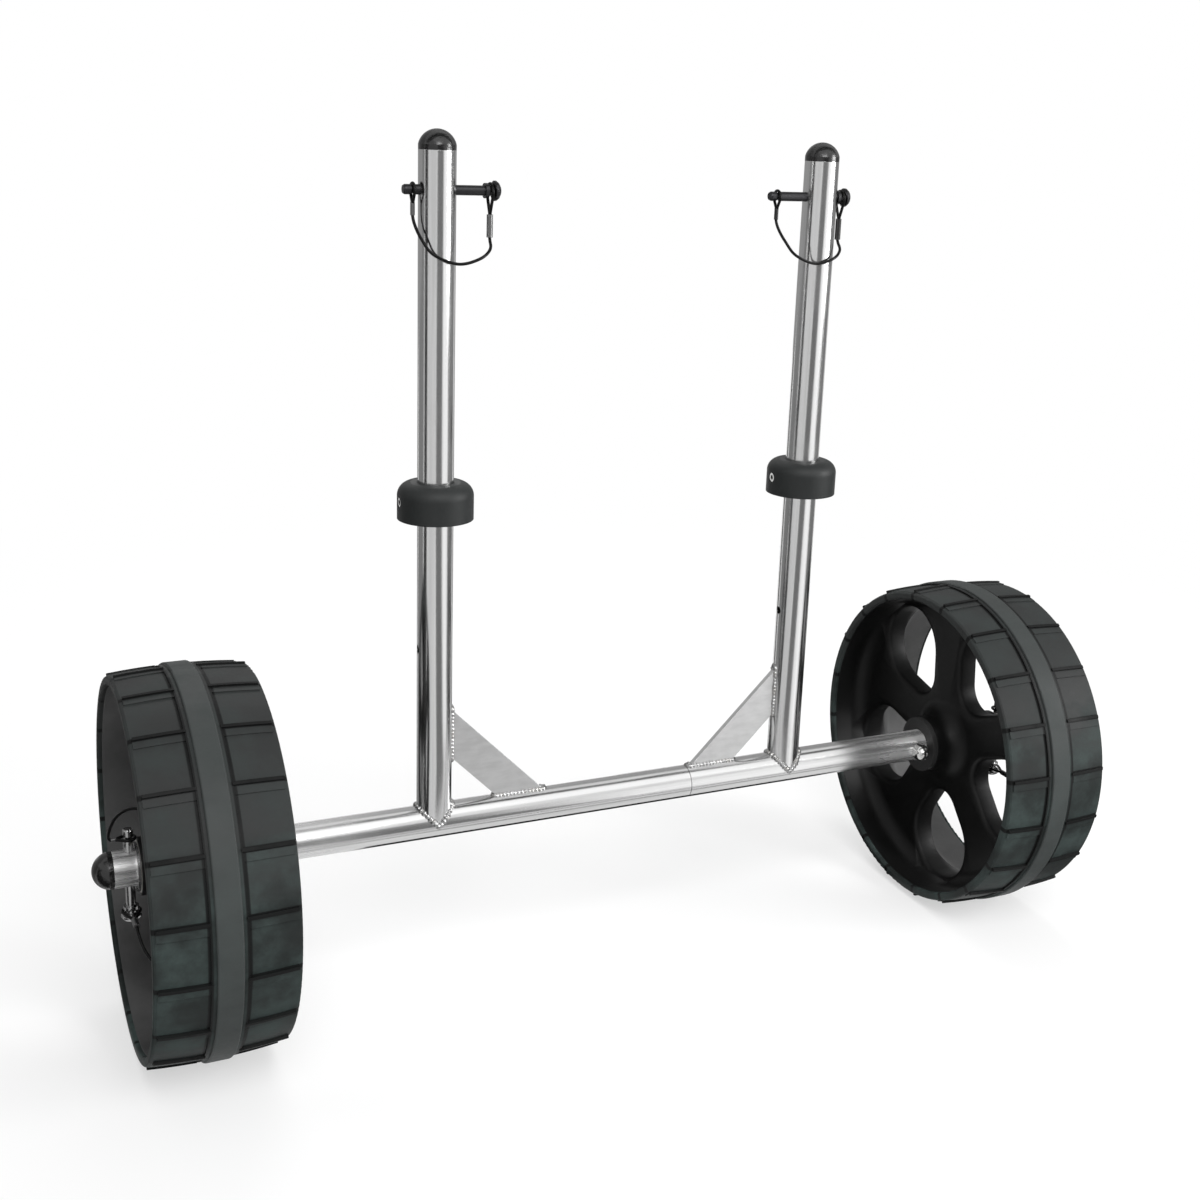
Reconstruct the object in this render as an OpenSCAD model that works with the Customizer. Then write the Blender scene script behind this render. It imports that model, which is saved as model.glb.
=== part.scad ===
// Two-wheeled kayak cart whose posts stand in the scupper holes of a sit-on-top hull.
// Millimetres. X runs along the axle, Y points to the back, Z is up, the wheels stand on Z = 0.

/* [Frame] */
// Distance between the centre lines of the two posts
post_gap = 350; // [300:5:400]
// Outside diameter of the posts and of the axle
tube_d = 30; // [28:0.5:31]
// Wall of the posts and of the axle
tube_wall = 2; // [1.5:0.25:3]
// Height of the top of the post tubes above the centre line of the axle
post_rise = 566.5; // [540:0.5:620]
// Length of a gusset along the post, from the axle's top up to its upper corner
gusset_reach = 86; // [70:1:110]
// Width of a gusset, measured down the post
gusset_foot = 44; // [30:1:60]
// Thickness of a gusset
gusset_t = 5; // [3:0.5:8]
// Height of the dome of an end cap
cap_dome = 12; // [8:0.5:14]
// Height of the straight rim of an end cap
cap_rim = 4; // [2:0.5:6]
// Depth of an end cap's plug inside its tube
cap_plug = 7.5; // [4:0.5:8]

/* [Collars] */
// Outside diameter of a collar
collar_d = 63; // [54:0.5:70]
// Height of a collar
collar_h = 30.5; // [28:0.5:40]
// Radius of the rounded shoulder on top of a collar
collar_round = 11; // [6:0.5:14]
// Height of the upper collar hole in a post, above the axle
upper_hole = 286.5; // [270:0.5:320]
// Height of the lower collar hole in a post, above the axle
lower_hole = 158.5; // [150:0.5:170]
// Diameter of the collar holes in the posts
collar_hole_d = 7; // [5:0.5:8]
// Diameter of a collar's set screw
screw_d = 8.4; // [6:0.2:10]

/* [Wheels] */
// Distance between the middle planes of the two wheels
track = 762; // [720:1:800]
// Radius of a wheel over its middle band
wheel_r = 161; // [158:0.5:166]
// Width of a wheel across its tyre
wheel_w = 109; // [100:1:116]
// Outside radius of the rim under the tyre
rim_r = 150.5; // [148:0.5:152]
// Thickness of the rim's wall
rim_wall = 3.5; // [3:0.5:5]
// Length of the hub
hub_len = 84; // [80:1:90]
// Radius of the hub at its inner end
hub_r = 27; // [25:0.5:30]
// Radius of the hub at its outer end
hub_tail_r = 23.5; // [22:0.5:24]
// Thickness of the web, ridge to back
web_t = 15; // [12:0.5:20]
// Distance of the web's front from the wheel's middle plane
web_out = 1; // [0:0.5:4]
// Radius of the flare that blends the hub into the web
flare_r = 57; // [50:1:62]
// Radius of the fillet that blends the web into the rim
bowl_r = 26; // [16:1:30]
// Number of spokes and of windows between them
spokes = 5; // [4:1:6]
// Length of a window along its radius
window_len = 100; // [80:1:106]
// Width of a window
window_w = 52; // [40:1:60]
// Distance of the middle of a window from the axle
window_r = 92; // [88:1:95]

/* [Tread] */
// Width of the raised band round the middle of the tread
band_w = 20; // [14:1:26]
// Width of the step on each side of the band
step_w = 4; // [2:0.5:6]
// Drop from the top of the band to the step
step_drop = 2; // [1:0.25:3]
// Drop from the top of the band to the tread beside it
tread_drop = 3.2; // [2.5:0.1:4]
// Drop of the tread from its middle to its edge
crown_drop = 3; // [2:0.25:4]
// Number of thin lugs round each half of the tread
lugs = 20; // [12:1:28]
// Thickness of a lug
lug_t = 2.8; // [2:0.2:4]
// Height of a lug above the tread
lug_h = 2.6; // [1.5:0.1:3]
// Width of the low pad behind each lug
pad_w = 8.6; // [5:0.2:12]
// Height of the low pad behind each lug
pad_h = 1; // [0.5:0.1:1.4]

/* [Wheel fittings] */
// Outside diameter of a hub bush
bush_d = 36; // [34.5:0.5:38]
// Length of a hub bush
bush_len = 22; // [16:1:28]
// Diameter of a bush's flange
bush_flange_d = 42; // [40:0.5:44]
// Thickness of a bush's flange
bush_flange_t = 2; // [1.5:0.25:3]
// Diameter of the thick disc inside each wheel
disc_d = 54; // [46:1:58]
// Thickness of the thick disc inside each wheel
disc_t = 5; // [3:0.5:6]
// Diameter of the thin washer outside each wheel
washer_d = 40; // [36:1:41]
// Thickness of the thin washer outside each wheel
washer_t = 2.4; // [1.6:0.1:3]
// Distance from the disc to the centre line of the stop bolt
stop_gap = 9.7; // [9.5:0.1:14]
// Diameter of a stop bolt
bolt_d = 8; // [6:0.5:9]
// Diameter of a stop bolt's domed head
bolt_head_d = 16; // [13:0.5:18]
// Height of a stop bolt's domed head
bolt_head_h = 13; // [9:0.5:14]
// Width of a stop bolt's nut across its flats
nut_flats = 13; // [10:0.5:15]
// Height of a stop bolt's nut
nut_h = 6.5; // [4:0.5:9]

/* [Lock pins] */
// Length of a lock pin from its tip to the end of its head
pin_len = 80; // [76:0.5:86]
// Diameter of a lock pin's shank
pin_d = 8; // [7:0.25:8.5]
// Length of a pin's head with its neck and flange
pin_head_len = 13; // [12:0.5:15]
// Diameter of a pin's head
pin_head_d = 16; // [14:0.5:16]
// Diameter of a pin's flange
pin_flange_d = 12; // [11:0.5:13]
// Depth of the groove round a pin's tip
groove_depth = 0.8; // [0.4:0.1:1.2]
// Distance from a pin's tip to the middle of its groove
groove_from_tip = 8; // [6.5:0.5:9]
// Height of the holes for the post pins, above the centre line of the axle
pin_height = 536; // [510:0.5:538]
// How far the left post pin stands out of its hole
left_pin_out = 24; // [2:0.5:25]
// How far the right post pin stands out of its hole
right_pin_out = 1.2; // [0.5:0.1:20]
// How far the axle pins stand out of their holes
axle_pin_out = 18; // [16:0.5:20]
// Length of axle tube beyond the middle of the axle pin
axle_tail = 13; // [12.5:0.5:20]

/* [Lanyards] */
// Diameter of the coated cable of a lanyard
cable_d = 2.5; // [2:0.1:2.6]
// Radius of the eye round a pin's tip, to the middle of the cable
tip_eye_r = 5.5; // [5.4:0.1:5.6]
// Radius of the eye round a pin's neck, to the middle of the cable
neck_eye_r = 7; // [6:0.1:7.2]
// Diameter of the thin sleeve below the tip eye
sleeve_d = 3.6; // [3.2:0.1:3.8]
// Diameter of the ferrule below the neck eye
ferrule_d = 5; // [4:0.1:5.5]

/* [Hidden] */

// Clearances: running fits, seats that only touch lightly, and parts that pass each other
run_gap = 0.1;
seat_gap = 0.05;
side_gap = 0.3;

// Facets of small, middling and large round forms
fine = 32;
smooth = 64;
large = 180;

tube_r = tube_d / 2;
bore_r = tube_r - tube_wall;
post_x = post_gap / 2;
axle_z = wheel_r;
post_top = axle_z + post_rise;
pin_z = axle_z + pin_height;
collar_z = axle_z + upper_hole;

hub_end = track / 2 + hub_len / 2;
hub_start = track / 2 - hub_len / 2;
washer_x = hub_end + side_gap;
disc_x = hub_start - side_gap - disc_t;
stop_x = disc_x - stop_gap;
axle_pin_x = washer_x + washer_t + side_gap + pin_d / 2;
axle_end = axle_pin_x + axle_tail;

rim_in_r = rim_r - rim_wall;
lip_r = 2;
rim_half_w = wheel_w / 2 - 2 * lip_r;
window_turn = 46;
lug_turn = 100;

neck_d = pin_d;
neck_len = 4;
flange_len = 3;
pin_head_cap = pin_head_len - neck_len - flange_len;
groove_w = 3.4;
tip_eye_at = groove_from_tip;
neck_eye_at = pin_len - pin_head_cap - neck_len / 2;
eye_sag = 0.3;

// Distances from the middle of an eye to where its two strands join, to the start of the
// sleeve or ferrule on them and to its end
tip_join = 10.5;
sleeve_start = 9;
sleeve_end = 13;
post_sleeve_end = 19;
neck_join = 18;
ferrule_start = 17;
ferrule_end = 29;
post_ferrule_end = 35;

cable_sides = 8;
cable_steps = 2;

// Route of a post lanyard: X from the tip eye towards the head, Y, and Z from the pin's axis
post_route = [
    [0, 0, -20], [1, -4, -28], [4, -12, -38], [12, -17.5, -49],
    [32, -17.5, -56], [50, -17, -52], [61, -10, -45], [64.5, -1, -36]
];

// Route of an axle lanyard: X outwards from the pin's axis, Y, and Z from the axle's centre line
axle_route = [
    [13, 0, 25], [15, -4, 33], [10, -12, 50], [-2, -23, 61], [-16, -38, 58], [-25, -54, 38],
    [-27, -62, 10], [-27, -63, -18], [-24, -61, -42], [-17, -57, -56], [-8, -50, -58],
    [-2, -40, -48], [0, -29, -38]
];

function unit(v) = v / norm(v);

// Point at t between b and c of the smooth curve through a, b, c and d
function curve_point(a, b, c, d, t) =
    0.5 * (2 * b + (c - a) * t + (2 * a - 5 * b + 4 * c - d) * t * t + (3 * b - a - 3 * c + d) * t * t * t);

// Route with its ends extended along the directions in which the cable leaves its sleeves
function extended(stops, out, into) =
    let (last = len(stops) - 1)
    concat([stops[0] - out], stops, [stops[last] + into]);

function cable_points(stops, out, into) =
    let (ext = extended(stops, out * norm(stops[1] - stops[0]), into * norm(stops[len(stops) - 1] - stops[len(stops) - 2])))
    concat(
        [for (i = [1:len(ext) - 3], k = [0:cable_steps - 1])
            curve_point(ext[i - 1], ext[i], ext[i + 1], ext[i + 2], k / cable_steps)],
        [stops[len(stops) - 1]]
    );

function cable_tangents(points, out, into) =
    let (last = len(points) - 1)
    [for (i = [0:last]) i == 0 ? out : i == last ? into : unit(points[i + 1] - points[i - 1])];

// Directions square to the route, carried along it without twisting
function cable_sideways(tangents, first) =
    [for (i = 0, n = first; i < len(tangents);
        i = i + 1, n = i < len(tangents) ? unit(n - (n * tangents[i]) * tangents[i]) : n) n];

function cable_rings(points, tangents, sideways) =
    [for (i = [0:len(points) - 1], k = [0:cable_sides - 1])
        let (turn = 360 * k / cable_sides)
        points[i] + cable_d / 2 * (cos(turn) * sideways[i] + sin(turn) * cross(tangents[i], sideways[i]))];

function cable_skin(count) =
    [for (i = [0:count - 2], k = [0:cable_sides - 1], half = [0, 1])
        let (a = i * cable_sides + k, b = i * cable_sides + (k + 1) % cable_sides)
        half == 0 ? [a, a + cable_sides, b] : [b, a + cable_sides, b + cable_sides]];

function cable_ends(count) =
    let (last = (count - 1) * cable_sides)
    concat(
        [for (k = [1:cable_sides - 2]) [0, k, k + 1]],
        [for (k = [1:cable_sides - 2]) [last, last + k + 1, last + k]]
    );

module cable(stops, out, into, first) {
    points = cable_points(stops, out, into);
    tangents = cable_tangents(points, out, into);
    sideways = cable_sideways(tangents, first);
    color("black")
    polyhedron(
        points = cable_rings(points, tangents, sideways),
        faces = concat(cable_skin(len(points)), cable_ends(len(points)))
    );
}

// Puts its children once on each side, the left one as a mirror image
module on_both_sides() {
    children();
    mirror([1, 0, 0]) children();
}

// Puts its children, drawn for the right side, on the side asked for
module on_side(side) {
    if (side > 0) {
        children();
    } else {
        mirror([1, 0, 0]) children();
    }
}

module along_x() {
    rotate([0, 90, 0]) children();
}

module along_y() {
    rotate([-90, 0, 0]) children();
}

module axle_tube() {
    color("silver")
    translate([0, 0, axle_z])
    difference() {
        along_x() cylinder(r = tube_r, h = 2 * axle_end, center = true, $fn = smooth);
        along_x() cylinder(r = bore_r, h = 2 * axle_end + 2, center = true, $fn = smooth);
        for (side = [-1, 1]) {
            translate([side * stop_x, 0, 0])
            along_y() cylinder(d = bolt_d + 2 * seat_gap, h = 2 * tube_d, center = true, $fn = fine);
            translate([side * axle_pin_x, 0, 0])
            cylinder(d = pin_d + 2 * run_gap, h = 2 * tube_d, center = true, $fn = fine);
        }
    }
}

module post(side) {
    hole_z = [lower_hole, upper_hole];
    color("silver")
    translate([side * post_x, 0, axle_z])
    difference() {
        cylinder(r = tube_r, h = post_rise, $fn = smooth);
        translate([0, 0, -1]) cylinder(r = bore_r, h = post_rise + 2, $fn = smooth);
        along_x() cylinder(r = tube_r, h = 2 * tube_d, center = true, $fn = smooth);
        translate([0, 0, pin_height])
        along_x() cylinder(d = pin_d + 2 * run_gap, h = 2 * tube_d, center = true, $fn = fine);
        for (z = hole_z) {
            translate([0, 0, z])
            along_x() cylinder(d = collar_hole_d, h = 2 * tube_d, center = true, $fn = fine);
        }
    }
}

// Flat strap at 45 degrees between the inner side of a post and the top of the axle
module gusset(side) {
    post_face = post_x - tube_r;
    axle_top = axle_z + tube_r;
    overlap = 1;
    color("gray")
    on_side(side)
    difference() {
        translate([0, gusset_t / 2, 0])
        rotate([90, 0, 0])
        linear_extrude(gusset_t)
        polygon([
            [post_face + overlap, axle_top + gusset_reach + overlap],
            [post_face + overlap, axle_top + gusset_reach - gusset_foot + overlap],
            [post_face - gusset_reach + gusset_foot - overlap, axle_top - overlap],
            [post_face - gusset_reach - overlap, axle_top - overlap]
        ]);
        translate([post_x, 0, 0]) cylinder(r = tube_r, h = post_top, $fn = smooth);
        translate([0, 0, axle_z]) along_x() cylinder(r = tube_r, h = 2 * post_x, $fn = smooth);
    }
}

// Plug with a straight rim and a dome, drawn with its seat on Z = 0 and its dome up
module end_cap() {
    dome_r = (tube_r * tube_r + cap_dome * cap_dome) / (2 * cap_dome);
    color("black") {
        translate([0, 0, -cap_plug]) cylinder(r = bore_r - seat_gap, h = cap_plug + 1, $fn = smooth);
        rotate_extrude($fn = smooth) {
            square([tube_r, cap_rim]);
            intersection() {
                translate([0, cap_rim + cap_dome - dome_r]) circle(r = dome_r, $fn = large);
                translate([0, cap_rim]) square([tube_r, cap_dome + 1]);
            }
        }
    }
}

module post_cap(side) {
    translate([side * post_x, 0, post_top]) end_cap();
}

module axle_cap(side) {
    on_side(side)
    translate([axle_end, 0, axle_z]) along_x() end_cap();
}

// Domed bolts across the axle that keep the discs and the wheels out at its ends
module stop_bolts() {
    skirt = 4;
    dome_r = bolt_head_d / 2;
    nut_reach = tube_r + nut_h + 2;
    color("silver")
    on_both_sides()
    translate([stop_x, 0, axle_z]) {
        translate([0, -tube_r - 1, 0])
        along_y() cylinder(d = bolt_d, h = tube_r + 1 + nut_reach, $fn = fine);
        translate([0, -tube_r, 0])
        rotate([90, 0, 0])
        rotate_extrude($fn = smooth) {
            square([dome_r, skirt]);
            intersection() {
                translate([0, bolt_head_h - dome_r]) circle(r = dome_r, $fn = smooth);
                square([dome_r, bolt_head_h]);
            }
            square([dome_r, bolt_head_h - dome_r]);
        }
    }
}

module stop_nuts() {
    flats_to_corners = 1 / cos(30);
    color("silver")
    on_both_sides()
    translate([stop_x, tube_r, axle_z])
    along_y()
    difference() {
        cylinder(d = nut_flats * flats_to_corners, h = nut_h, $fn = 6);
        translate([0, 0, -1]) cylinder(d = bolt_d + 2 * seat_gap, h = nut_h + 2, $fn = fine);
    }
}

module ring(outer_r, inner_r, thickness) {
    difference() {
        cylinder(r = outer_r, h = thickness, $fn = smooth);
        translate([0, 0, -1]) cylinder(r = inner_r, h = thickness + 2, $fn = smooth);
    }
}

module inner_discs() {
    color("dimgray")
    on_both_sides()
    translate([disc_x, 0, axle_z]) along_x() ring(disc_d / 2, tube_r + run_gap, disc_t);
}

module outer_washers() {
    color("silver")
    on_both_sides()
    translate([washer_x, 0, axle_z]) along_x() ring(washer_d / 2, tube_r + run_gap, washer_t);
}

// Rubber collar that carries the hull, with a rounded shoulder, pierced for its set screw
module collar(side) {
    outer_r = collar_d / 2;
    inner_r = tube_r + run_gap;
    color("#202020")
    translate([side * post_x, 0, collar_z])
    difference() {
        translate([0, 0, -collar_h / 2])
        rotate_extrude($fn = large) {
            translate([inner_r, 0]) square([outer_r - inner_r, collar_h - collar_round]);
            translate([inner_r, 0]) square([outer_r - inner_r - collar_round, collar_h]);
            translate([outer_r - collar_round, collar_h - collar_round])
            intersection() {
                circle(r = collar_round, $fn = smooth);
                square(collar_round);
            }
        }
        rotate([0, -90, 0]) cylinder(d = screw_d + 2 * seat_gap, h = outer_r + 1, $fn = fine);
    }
}

module collar_screw(side) {
    recess = 0.6;
    socket_d = 4.6;
    socket_depth = 3.5;
    tip = tube_r + side_gap;
    head = collar_d / 2 - recess;
    color("silver")
    translate([side * post_x, 0, collar_z])
    rotate([0, -90, 0])
    difference() {
        translate([0, 0, tip]) cylinder(d = screw_d, h = head - tip, $fn = fine);
        translate([0, 0, head - socket_depth]) cylinder(d = socket_d, h = socket_depth + 1, $fn = 6);
    }
}

// Section of the wheel's core: X is the radius, Y runs outwards from the wheel's middle plane
module core_section() {
    flare_mid = hub_r + sqrt(flare_r * flare_r - pow(flare_r - web_out - hub_len / 2 + hub_end_land(), 2));
    web_back = web_out + web_t;
    tail_fillet = 14;
    difference() {
        union() {
            translate([0, -hub_len / 2]) square([hub_r, hub_len / 2 + web_out + 1]);
            square([hub_tail_r, hub_len / 2]);
            difference() {
                translate([0, -hub_len / 2 + hub_end_land()])
                square([flare_mid, hub_len / 2 - hub_end_land() + web_out + 1]);
                translate([flare_mid, web_out - flare_r]) circle(r = flare_r, $fn = large);
            }
            translate([0, web_out]) square([rim_r - seat_gap, web_t]);
            translate([rim_in_r, -rim_half_w]) square([rim_wall - seat_gap, 2 * rim_half_w]);
            bowl_fillet(web_out, -1);
            bowl_fillet(web_back, 1);
            difference() {
                translate([0, web_back - 1]) square([hub_tail_r + tail_fillet, tail_fillet + 1]);
                translate([hub_tail_r + tail_fillet, web_back + tail_fillet])
                circle(r = tail_fillet, $fn = smooth);
            }
        }
        translate([-1, -hub_len]) square([1 + tube_r + 1.5, 2 * hub_len]);
        for (end = [-1, 1]) {
            bush_pocket(end);
        }
    }
}

// Length of the hub's plain land before its flare begins
function hub_end_land() = 6;

// Fillet between the rim's inside and the face of the web, on the face's side given
module bowl_fillet(face, side) {
    corner_r = rim_in_r - bowl_r;
    difference() {
        translate([corner_r, side > 0 ? face - 1 : face - bowl_r]) square([bowl_r + 1, bowl_r + 1]);
        translate([corner_r, face + side * bowl_r]) circle(r = bowl_r, $fn = large);
    }
}

module bush_pocket(end) {
    mirror([0, end > 0 ? 0 : 1]) {
        translate([0, hub_len / 2 - bush_len]) square([bush_d / 2 + seat_gap, bush_len + 1]);
        translate([0, hub_len / 2 - bush_flange_t]) square([bush_flange_d / 2 + seat_gap, bush_flange_t + 1]);
    }
}

// Pointed oval between two equal arcs, long in X
module pointed_oval(length, width) {
    arc_r = (length * length + width * width) / (4 * width);
    intersection() {
        translate([0, arc_r - width / 2]) circle(r = arc_r, $fn = large);
        translate([0, width / 2 - arc_r]) circle(r = arc_r, $fn = large);
    }
}

// Dished wheel core, drawn with its outer side up
module core_form() {
    difference() {
        rotate_extrude($fn = large) core_section();
        for (k = [0:spokes - 1]) {
            rotate([0, 0, window_turn + 360 * k / spokes])
            translate([window_r, 0, -wheel_w / 2])
            linear_extrude(wheel_w) pointed_oval(window_len, window_w);
        }
    }
}

// Sets a form drawn round Z, outer side up, on its wheel, with angles counted from +Y upwards
module on_wheel(side) {
    on_side(side)
    translate([track / 2, 0, axle_z])
    rotate([90, 0, 90]) children();
}

module wheel_core(side) {
    color("#252525")
    on_wheel(side) core_form();
}

// Radius of the tread's crown at a distance from the wheel's middle plane
function crown_r() = wheel_r - tread_drop;
function crown_arc() = (pow(wheel_w / 2, 2) + crown_drop * crown_drop) / (2 * crown_drop);

module crown_disc(grow) {
    translate([crown_r() - crown_arc(), 0]) circle(r = crown_arc() + grow, $fn = 1440);
}

module tread_section() {
    edge_r = crown_r() - crown_drop;
    band_round = 1.5;
    band_half = band_w / 2;
    intersection() {
        crown_disc(0);
        translate([rim_r, -wheel_w / 2 + lip_r]) square([wheel_r - rim_r, wheel_w - 2 * lip_r]);
    }
    translate([rim_r, -band_half - step_w]) square([wheel_r - step_drop - rim_r, band_w + 2 * step_w]);
    translate([rim_r, -band_half]) square([wheel_r - band_round - rim_r, band_w]);
    translate([rim_r, band_round - band_half]) square([wheel_r - rim_r, band_w - 2 * band_round]);
    for (side = [-1, 1]) {
        translate([wheel_r - band_round, side * (band_half - band_round)])
        circle(r = band_round, $fn = fine);
        translate([0, side * (wheel_w / 2 - lip_r)]) {
            translate([edge_r - lip_r, 0]) circle(r = lip_r, $fn = fine);
            translate([rim_in_r + lip_r, 0]) circle(r = lip_r, $fn = fine);
            translate([rim_in_r, -lip_r * (1 + side) / 2]) square([lip_r + 1, lip_r]);
            translate([rim_in_r + lip_r, -lip_r]) square([edge_r - 2 * lip_r - rim_in_r, 2 * lip_r]);
        }
    }
}

// Section of a lug or pad on the half of the tread with positive Y
module lug_section(height) {
    from = band_w / 2 + step_w - 1;
    to = wheel_w / 2 - lip_r - 1;
    intersection() {
        crown_disc(height);
        translate([crown_r() - crown_drop - 1, from]) square([crown_drop + height + 2, to - from]);
    }
}

// Outline of every lug or pad as seen along the axle
module lug_outline(from_angle, to_angle) {
    reach = 2 * wheel_r;
    for (k = [0:lugs - 1]) {
        rotate(lug_turn + 360 * k / lugs)
        polygon([[0, 0], reach * [cos(from_angle), sin(from_angle)], reach * [cos(to_angle), sin(to_angle)]]);
    }
}

module lug_ring(height, from_angle, to_angle) {
    intersection() {
        rotate_extrude($fn = large) {
            lug_section(height);
            mirror([0, 1]) lug_section(height);
        }
        linear_extrude(wheel_w, center = true) lug_outline(from_angle, to_angle);
    }
}

module tread(side) {
    lug_angle = 360 * lug_t / (2 * PI * crown_r());
    pad_angle = 360 * pad_w / (2 * PI * crown_r());
    color("#2e312f")
    on_wheel(side) {
        rotate_extrude($fn = large) tread_section();
        lug_ring(lug_h, -lug_angle / 2, lug_angle / 2);
        lug_ring(pad_h, 0, pad_angle);
    }
}

module hub_bushes(side) {
    color("ivory")
    on_wheel(side)
    for (end = [0, 1]) {
        mirror([0, 0, end])
        translate([0, 0, hub_len / 2 - bush_len]) {
            ring(bush_d / 2, tube_r + run_gap, bush_len);
            translate([0, 0, bush_len - bush_flange_t])
            ring(bush_flange_d / 2, tube_r + run_gap, bush_flange_t);
        }
    }
}

// Section of a lock pin: X is the radius, Y runs from the tip to the head
module pin_section() {
    pin_r = pin_d / 2;
    groove_r = pin_r - groove_depth;
    tip_round = 2;
    head_start = pin_len - pin_head_cap;
    flange_start = pin_len - pin_head_len;
    head_r = pin_head_d / 2;
    translate([0, tip_round]) square([pin_r, groove_from_tip - groove_w / 2 - tip_round]);
    square([pin_r - tip_round, tip_round]);
    intersection() {
        translate([pin_r - tip_round, tip_round]) circle(r = tip_round, $fn = fine);
        square([pin_r, tip_round]);
    }
    square([groove_r, pin_len / 2]);
    translate([0, groove_from_tip + groove_w / 2])
    square([pin_r, head_start - groove_from_tip - groove_w / 2 + 1]);
    translate([0, flange_start]) square([pin_flange_d / 2, flange_len]);
    polygon([
        [0, head_start], [head_r - 1.5, head_start], [head_r, head_start + 1],
        [head_r, head_start + 2.5], [head_r - 1.5, pin_len - 1.5], [head_r - 4, pin_len], [0, pin_len]
    ]);
}

module lock_pin() {
    color("dimgray")
    rotate_extrude($fn = smooth) pin_section();
}

// Place of a pin's tip when its flange stands the given distance off a tube
function tip_offset(out) = tube_r + out - (pin_len - pin_head_len);
function post_pin_tip(side) = side * post_x + tip_offset(side > 0 ? right_pin_out : left_pin_out);
axle_pin_tip = -tip_offset(axle_pin_out);

module on_post_pin(side) {
    translate([post_pin_tip(side), 0, pin_z]) children();
}

module on_axle_pin(side) {
    on_side(side)
    translate([axle_pin_x, 0, axle_z]) children();
}

module post_pin(side) {
    on_post_pin(side) along_x() lock_pin();
}

module axle_pin(side) {
    on_axle_pin(side)
    translate([0, 0, axle_pin_tip]) rotate([180, 0, 0]) lock_pin();
}

// Loop of cable in the XY plane round Z whose two strands run together towards -Y
module eye(loop_r, join) {
    half_open = acos(loop_r / join);
    strand = sqrt(join * join - loop_r * loop_r);
    rotate([0, 0, -90 + half_open])
    rotate_extrude(angle = 360 - 2 * half_open, $fn = smooth)
    translate([loop_r, 0]) circle(d = cable_d, $fn = 24);
    for (side = [-1, 1]) {
        rotate([0, 0, -90 + side * half_open])
        translate([loop_r, 0, 0])
        rotate([side * 90, 0, 0]) cylinder(d = cable_d, h = strand, $fn = 24);
    }
}

module crimp(diameter, start, end, loop_r, join) {
    difference() {
        rotate([90, 0, 0])
        translate([0, 0, start]) cylinder(d = diameter, h = end - start, $fn = fine);
        eye(loop_r, join);
    }
}

// How far an eye hangs below the middle of the pin that carries it
function eye_drop(loop_r, seat_r) = loop_r - cable_d / 2 - seat_r - eye_sag;

// Puts a form drawn for an eye at a place along a post pin, hanging from it
module hung_on_post_pin(side, at, drop) {
    on_post_pin(side)
    translate([at, 0, -drop])
    rotate([90, 0, 90]) children();
}

tip_drop = eye_drop(tip_eye_r, pin_d / 2 - groove_depth);
neck_drop = eye_drop(neck_eye_r, neck_d / 2);

module post_eyes(side) {
    color("black") {
        hung_on_post_pin(side, tip_eye_at, tip_drop) eye(tip_eye_r, tip_join);
        hung_on_post_pin(side, neck_eye_at, neck_drop) eye(neck_eye_r, neck_join);
    }
}

module post_ferrules(side) {
    color("gray") {
        hung_on_post_pin(side, tip_eye_at, tip_drop)
        crimp(sleeve_d, sleeve_start, post_sleeve_end, tip_eye_r, tip_join);
        hung_on_post_pin(side, neck_eye_at, neck_drop)
        crimp(ferrule_d, ferrule_start, post_ferrule_end, neck_eye_r, neck_join);
    }
}

// The upper eye of an axle pin points outwards and the lower one to the front
module at_upper_eye(side) {
    on_axle_pin(side)
    translate([0, 0, axle_pin_tip - tip_eye_at]) rotate([0, 0, 90]) children();
}

module at_lower_eye(side) {
    on_axle_pin(side)
    translate([0, 0, axle_pin_tip - neck_eye_at]) children();
}

module axle_eyes(side) {
    color("black") {
        at_upper_eye(side) eye(tip_eye_r, tip_join);
        at_lower_eye(side) eye(neck_eye_r, neck_join);
    }
}

module axle_ferrules(side) {
    color("gray") {
        at_upper_eye(side) crimp(sleeve_d, sleeve_start, sleeve_end, tip_eye_r, tip_join);
        at_lower_eye(side) crimp(ferrule_d, ferrule_start, ferrule_end, neck_eye_r, neck_join);
    }
}

module post_lanyard(side) {
    last = len(post_route) - 1;
    ends = concat(
        [[0, 0, -tip_drop - post_sleeve_end]],
        [for (k = [1:last - 1]) post_route[k]],
        [[neck_eye_at - tip_eye_at, 0, -neck_drop - post_ferrule_end]]
    );
    on_post_pin(side)
    translate([tip_eye_at, 0, 0]) cable(ends, [0, 0, -1], [0, 0, 1], [0, 1, 0]);
}

module axle_lanyard(side) {
    last = len(axle_route) - 1;
    ends = concat(
        [[sleeve_end, 0, axle_pin_tip - tip_eye_at]],
        [for (k = [1:last - 1]) axle_route[k]],
        [[0, -ferrule_end, axle_pin_tip - neck_eye_at]]
    );
    on_axle_pin(side) cable(ends, [1, 0, 0], [0, 1, 0], [0, 0, 1]);
}

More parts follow.
